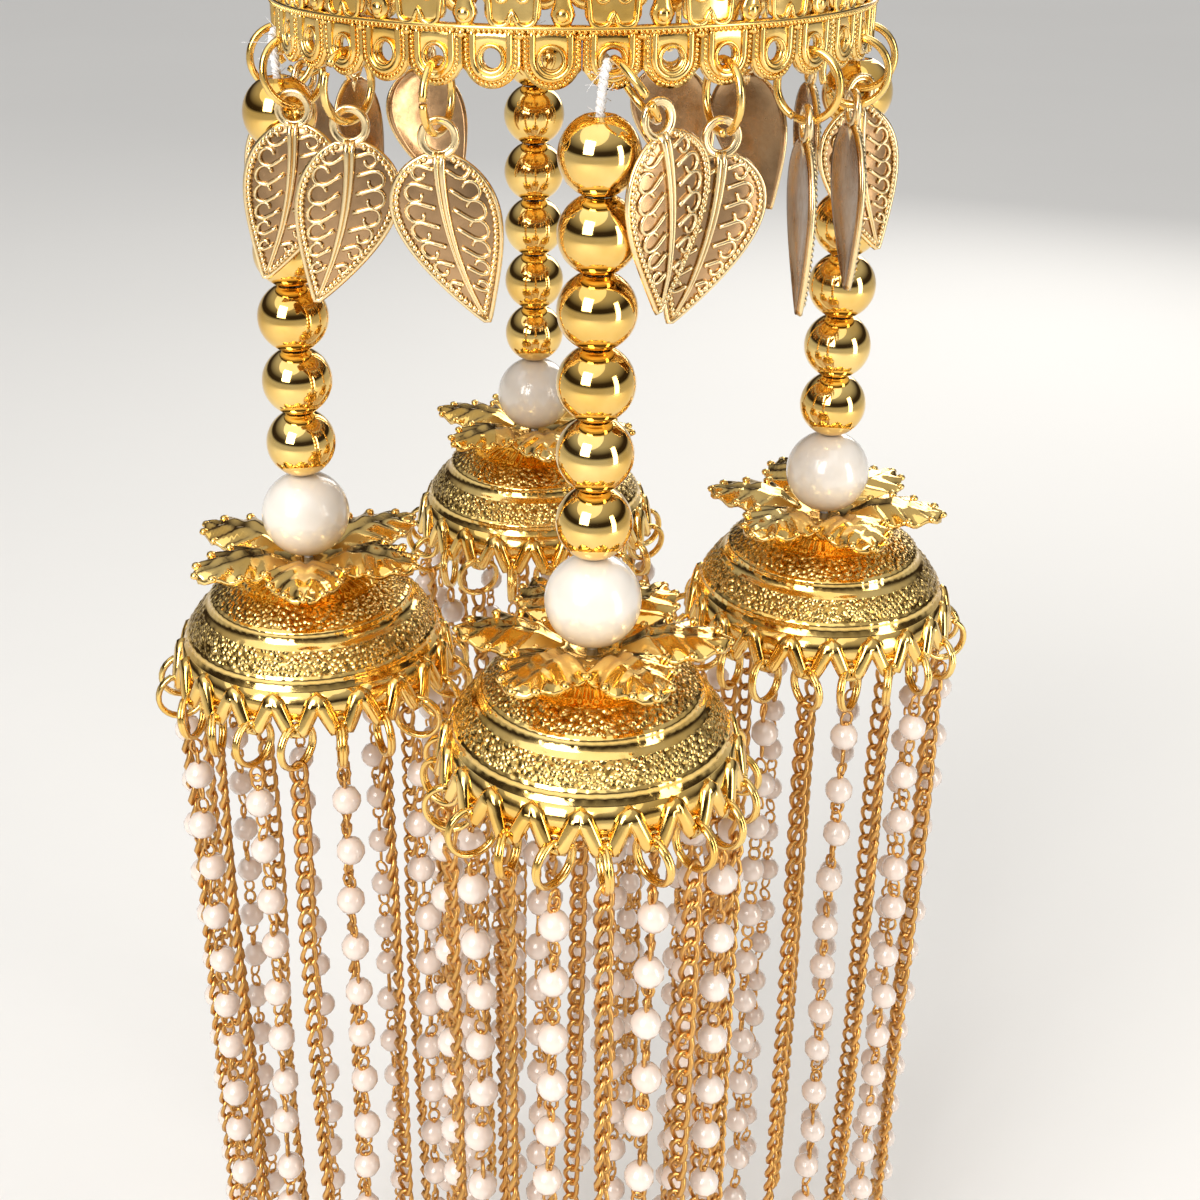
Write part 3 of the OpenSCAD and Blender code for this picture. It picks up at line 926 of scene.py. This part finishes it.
# ---- tassels
def strand_line(k, rng, steps):
    """The line that a hanging strand follows: straight down from its ring, with a
    slow sideways wave of under a millimetre that grows from nothing at the top."""
    az = np.full(steps, k * 360 / CHEVRONS)
    t = np.linspace(0, 1, steps)
    grow = np.minimum(1, t * 6)
    wave = grow * 0.35 * np.sin(TAU * (rng.uniform(0.5, 1.6) * t + rng.uniform(0, 1)))
    inward = grow * rng.uniform(-0.5, 0.3)
    line = point_at(az, EYELET_RING_R + inward, STRAND_TOP + 0.1 - t * (STRAND_LEN - 0.2))
    cross = point_at(az + 90, 1.0, 0.0) * wave[:, None]
    return line + cross


def curb_parts(side, rng):
    """Curb chains: each link is the closed line x = b cos q, y = c sin 2q, z = a sin q,
    so that its wire passes from front to back where it links the next; the chain
    slowly turns about its own line."""
    a, b, c, pitch, thick = 1.55, 0.82, 0.34, 2.42, 0.335
    q = around(11)
    line = stacked(b * np.cos(q), c * np.sin(2 * q), a * np.sin(q))
    link = tube(line, thick, 4, True)
    count = int((STRAND_LEN - 1.2) / pitch)
    chains = []
    for k in range(0, CHEVRONS, 2):
        line = even(strand_line(k, rng, 40), count + 1)[:count]
        line[:, 2] -= 0.6
        first, last = rng.uniform(-50, 50), rng.uniform(-160, 160)
        twist = k * 360 / CHEVRONS + first + np.linspace(0, last, count)
        chains.append(copies(link, turn("z", twist), line))
    return [on_string(side, joined(chains))]


def pearl_strand_parts(side, rng):
    """Strings of small pearls: a pearl, an oval wire loop under it, and a second loop
    above the next pearl, each loop turned at random, with a short wrapped wire at each end."""
    pitch, r = 6.9, 1.7
    count = int(STRAND_LEN / pitch)
    pearl = ball(r, 11, 6)
    q = around(9)
    loop = tube(stacked(0.68 * np.cos(q), 0, 0.98 * np.sin(q)), 0.2, 4, True)
    wrap = ball(0.42, 5, 2)
    pearls, wires = [], []
    for k in range(1, CHEVRONS, 2):
        line = even(strand_line(k, rng, 60), 400)
        start = rng.uniform(2.2, 3.4)
        centre = start + r + np.arange(count) * pitch + rng.uniform(-0.4, 0.4, count)
        centre = centre[centre < STRAND_LEN - r - 0.3]

        def at(distance):
            """Points of the strand's line at distances from its top."""
            return line[np.clip((distance / STRAND_LEN * 399).astype(int), 0, 399)]

        n = len(centre)
        spins = rng.uniform(0, 360, n)
        stray = rng.normal(0, 0.16, (n, 3)) * (1, 1, 0)
        pearls.append(copies(pearl, turn("z", spins), at(centre) + stray))
        upper, lower = centre - r - 0.85, centre + r + 0.85
        lower = lower[lower < STRAND_LEN - 1.3]
        turns_up, turns_low = rng.uniform(0, 180, n), rng.uniform(0, 180, len(lower))
        tip_up, tip_low = rng.normal(0, 13, n), rng.normal(0, 13, len(lower))
        wires += [copies(loop, turn("z", turns_up) @ turn("y", tip_up), at(upper)),
                  copies(loop, turn("z", turns_low) @ turn("y", tip_low), at(lower)),
                  strewn(wrap, at(centre - r - 0.05)), strewn(wrap, at(lower - 0.8))]
        if start > 2.3:
            wires.append(copies(loop, turn("z", rng.uniform(0, 180, 1)), at(np.array([1.2]))))
    return [on_string(side, joined(pearls)), on_string(side, joined(wires))]


def thread_parts(side, rng):
    """White cotton: a thick thread of two twisted plies from the tongue hole to the
    top bead, on through the bores to a knot, with loose fuzz where it shows."""
    az, hole = STRING_AZ[side], THREAD_AZ[side]
    lean = -1 if az < hole else 1
    top = PEARL_Z + PEARL_R + GAP + BEADS * BEAD_PITCH + 0.4
    bottom = PEARL_Z - 7.9
    through = hole + 0.8 * lean
    route = np.array([
        point_at(hole + 2.2 * lean, HOLE_RING_R - 1.8, HOLE_Z + 0.9),
        point_at(through, HOLE_RING_R - 0.7, HOLE_Z - 0.1),
        point_at(through, STRING_R, HOLE_Z - 0.15),
        point_at(hole + 1.5 * lean, STRING_R + 0.3, HOLE_Z - 1.0),
        point_at(az, STRING_R + 0.1, top),
        point_at(az, STRING_R, top - 2.0)])
    path = even(route, 46)
    t = np.linspace(0, 1, 46)
    shapes = []
    for ply in (0, math.pi):
        a = ply + 40 * t
        offset = 0.2 * stacked(np.cos(a), np.sin(a), 0)
        shapes.append(tube(path + offset, 0.3, 7, up=(0.3, 0.2, 1)))
    share = np.linspace(0, 1, 12)[:, None]
    knot = point_at(az, STRING_R, bottom)
    core = point_at(az, STRING_R, top - 1.5) * (1 - share) + knot * share
    shapes.append(tube(core, 0.5, 8, up=ACROSS))
    shapes.append(moved(ball(1.1, 12, 8), *knot))
    shapes.append(moved(ball(1.0, 12, 8), *route[0]))
    for _ in range(26):
        start = path[rng.integers(10, 42)]
        way = rng.normal(0, 1, 3) * (1, 1, 0.5)
        way /= np.linalg.norm(way)
        droop = rng.normal(0, 0.5, 3)
        q = np.linspace(0, 1, 6)[:, None]
        hair = start + way * q * rng.uniform(0.8, 2.6) + droop * q ** 2
        shapes.append(tube(hair, 0.035, 3, up=(0.1, 0.3, 1)))
    return shapes


# ---- settings
def colour(name, text, value):
    """A colour setting."""
    return bpy.props.FloatVectorProperty(
        name=name, description=text, subtype="COLOR", size=3, min=0.0, max=1.0, default=value)


class KalireFinishes(bpy.types.PropertyGroup):
    """Colours of the finishes"""

    gold: colour("Gold", "Light tone of the plated gold", (0.97, 0.70, 0.26))
    deep_gold: colour("Deep gold", "Deep tone of the plated gold", (0.84, 0.51, 0.12))
    leaf_gold: colour("Leaf gold", "Champagne gold of the leaves", (0.98, 0.76, 0.42))
    # the leaf ground's dark tone is painted reflection, not the leaves' own gold
    leaf_ground: colour("Leaf ground", "Dark tone between the leaves' scrolls", (0.53, 0.33, 0.17))
    chain_gold: colour("Chain gold", "Warm gold of the chains", (0.80, 0.44, 0.13))
    pearl: colour("Pearl", "Large pearls", (0.80, 0.76, 0.71))
    small_pearl: colour("Small pearl", "Small pearls of the tassels", (0.80, 0.70, 0.63))
    thread: colour("Thread", "Cotton thread", (0.92, 0.92, 0.93))
    floor: colour("Floor", "Pale floor", (0.84, 0.83, 0.81))


class KalireSizes(bpy.types.PropertyGroup):
    """Sizes of the stage"""

    lens: bpy.props.FloatProperty(
        name="Lens", description="Focal length for a 36 mm sensor", default=48.21,
        min=10.0, max=200.0)
    floor_drop: bpy.props.FloatProperty(
        name="Floor", description="Height of the floor under the loop", default=-0.232,
        unit="LENGTH")
    seed: bpy.props.IntProperty(
        name="Seed", description="Start of the random turns of links and rings", default=7, min=0)


def random_for(step):
    """Random numbers of one group of pieces, the same at each run."""
    return np.random.default_rng(bpy.context.scene.kalire_sizes.seed * 100 + step)


# ---- operators
class KALIRE_OT_crown(bpy.types.Operator):
    """Make the pierced crown: dome, upper tier and tongues"""

    bl_idname = "kalire.crown"
    bl_label = "Crown"

    def execute(self, context):
        piece("crown_shell", crown_shell(), "crown_gold", ["crown"])
        tongues = wrapped(joined(tongue_parts()), WALL_R, full_circle(TONGUES))
        piece("crown_tongues", [tongues], "crown_gold")
        tier = wrapped(joined(tier_parts()), WALL_R, full_circle(MOTIFS))
        piece("crown_tier", [tier], "crown_gold")
        return {"FINISHED"}


class KALIRE_OT_leaves(bpy.types.Operator):
    """Make the leaf pendants and their jump rings"""

    bl_idname = "kalire.leaves"
    bl_label = "Leaves"

    def execute(self, context):
        shapes, painted_dark_ground = hung_leaves()
        # the sheets between the scrolls take leaf_ground, a painted dark reflection
        piece("leaf_pendants", shapes, "leaf_gold", ["leaves"], ("leaf_ground", painted_dark_ground))
        piece("leaf_jump_rings", hung_rings(), "ring_gold", ["leaf_rings"])
        return {"FINISHED"}


class KALIRE_OT_strings(bpy.types.Operator):
    """Make the threads, gold beads and large pearls of the four strings"""

    bl_idname = "kalire.strings"
    bl_label = "Strings"

    def execute(self, context):
        for n, side in enumerate(SIDES):
            piece(f"gold_beads_{side}", string_beads(side), "bead_gold",
                  [f"bead_{side}_{k}" for k in range(1, BEADS + 1)])
            piece(f"large_pearl_{side}", [on_string(side, pearl_shape())], "pearl_white",
                  [f"pearl_{side}"])
            piece(f"cotton_{side}", thread_parts(side, random_for(10 + n)), "thread_white",
                  [f"thread_{side}"])
        return {"FINISHED"}


class KALIRE_OT_caps(bpy.types.Operator):
    """Make the flowers, bell caps and their rings"""

    bl_idname = "kalire.caps"
    bl_label = "Flowers and caps"

    def execute(self, context):
        for n, side in enumerate(SIDES):
            piece(f"petals_{side}", flower_parts(side), "cap_gold", [f"flower_{side}"])
            shapes, rough = cap_parts(side)
            piece(f"bell_cap_{side}", shapes, "cap_gold", [f"cap_{side}"],
                  ("stippled_gold", rough))
            piece(f"tassel_rings_{side}", cap_ring_parts(side, random_for(20 + n)), "ring_gold",
                  [f"cap_rings_{side}"])
        return {"FINISHED"}


class KALIRE_OT_tassels(bpy.types.Operator):
    """Make the curb chains and strings of small pearls"""

    bl_idname = "kalire.tassels"
    bl_label = "Tassels"

    def execute(self, context):
        for n, side in enumerate(SIDES):
            piece(f"curb_links_{side}", curb_parts(side, random_for(30 + n)), "chain_gold",
                  [f"curb_chains_{side}"])
            piece(f"small_pearls_{side}", pearl_strand_parts(side, random_for(40 + n)),
                  ["small_pearl", "chain_gold"], [f"pearl_strands_{side}"])
        return {"FINISHED"}


def standing(x, y, z, place):
    """The matrix of something that stands at a place with these three axes."""
    pose = np.eye(4)
    pose[:3, :3] = stacked(x, y, z)
    pose[:3, 3] = place
    return Matrix(pose.tolist())


def photo_stand():
    """The camera looks ahead at its yaw and pitch, right is level, and up is their
    cross product."""
    yaw, pitch = math.radians(CAMERA_YAW), math.radians(CAMERA_PITCH)
    ahead = np.array([math.sin(yaw) * math.cos(pitch), math.cos(yaw) * math.cos(pitch),
                      -math.sin(pitch)])
    right = np.array([math.cos(yaw), -math.sin(yaw), 0.0])
    return standing(right, np.cross(right, ahead), -ahead, np.array(CAMERA_AT) * MM)


def lamp_stand(place, aim):
    """A lamp shines along its -Z: back points from its aim to its place, across is level."""
    back = np.array(place) - np.array(aim)
    back = back / np.linalg.norm(back)
    across = np.cross((0, 0, 1), back)
    across /= np.linalg.norm(across)
    return standing(across, np.cross(back, across), back, place)


class KALIRE_OT_stage(bpy.types.Operator):
    """Make the camera, the pale floor and the soft studio light"""

    bl_idname = "kalire.stage"
    bl_label = "Stage"

    def execute(self, context):
        scene = context.scene
        lens = bpy.data.cameras.new("view")
        lens.lens, lens.sensor_width = scene.kalire_sizes.lens, SENSOR
        lens.shift_x, lens.shift_y = CAMERA_SHIFT
        lens.clip_start, lens.clip_end = 0.01, 50.0
        scene.camera = set_up("view", lens, photo_stand())

        far, drop = FLOOR_HALF, scene.kalire_sizes.floor_drop
        mesh = bpy.data.meshes.new("floor")
        mesh.from_pydata([(-far, -far, drop), (far, -far, drop), (far, far, drop),
                          (-far, far, drop)], [], [(0, 1, 2, 3)])
        mesh.materials.append(floor_finish("floor", tuple(scene.kalire_finishes.floor)))
        set_up("floor", mesh)

        for name, place, aim, wide, high, watts, tone in LIGHTS:
            lamp = bpy.data.lights.new(name, "AREA")
            lamp.shape, lamp.size, lamp.size_y = "RECTANGLE", wide, high
            lamp.energy, lamp.color = watts, tone
            set_up(name, lamp, lamp_stand(place, aim))
        sun = bpy.data.lights.new("overhead", "SUN")
        sun.energy, sun.angle = OVERHEAD, math.radians(OVERHEAD_SPREAD)
        set_up("overhead", sun).rotation_euler = [math.radians(a) for a in OVERHEAD_TILT]
        scene.world = studio_air()
        scene.view_settings.view_transform = "Standard"
        return {"FINISHED"}


class KALIRE_PT_panel(bpy.types.Panel):
    """Sizes, colours and the steps that build the ornament"""

    bl_idname = "KALIRE_PT_panel"
    bl_label = "Kalire"
    bl_space_type = "VIEW_3D"
    bl_region_type = "UI"
    bl_category = "Kalire"

    def draw(self, context):
        for group in (context.scene.kalire_sizes, context.scene.kalire_finishes):
            for key in group.__annotations__:
                self.layout.prop(group, key)
        for step in STEPS:
            self.layout.operator(step.bl_idname)


STEPS = (KALIRE_OT_stage, KALIRE_OT_crown, KALIRE_OT_leaves, KALIRE_OT_strings, KALIRE_OT_caps,
         KALIRE_OT_tassels)
CLASSES = (KalireFinishes, KalireSizes, *STEPS, KALIRE_PT_panel)


def register():
    """Add the settings, the operators and the panel to Blender."""
    for each in CLASSES:
        bpy.utils.register_class(each)
    bpy.types.Scene.kalire_finishes = bpy.props.PointerProperty(type=KalireFinishes)
    bpy.types.Scene.kalire_sizes = bpy.props.PointerProperty(type=KalireSizes)


def unregister():
    """Take them out again."""
    del bpy.types.Scene.kalire_finishes
    del bpy.types.Scene.kalire_sizes
    for each in reversed(CLASSES):
        bpy.utils.unregister_class(each)


def main():
    """Run every step in order."""
    register()
    for step in STEPS:
        group, name = step.bl_idname.split(".")
        getattr(getattr(bpy.ops, group), name)()


if __name__ == "__main__":
    main()
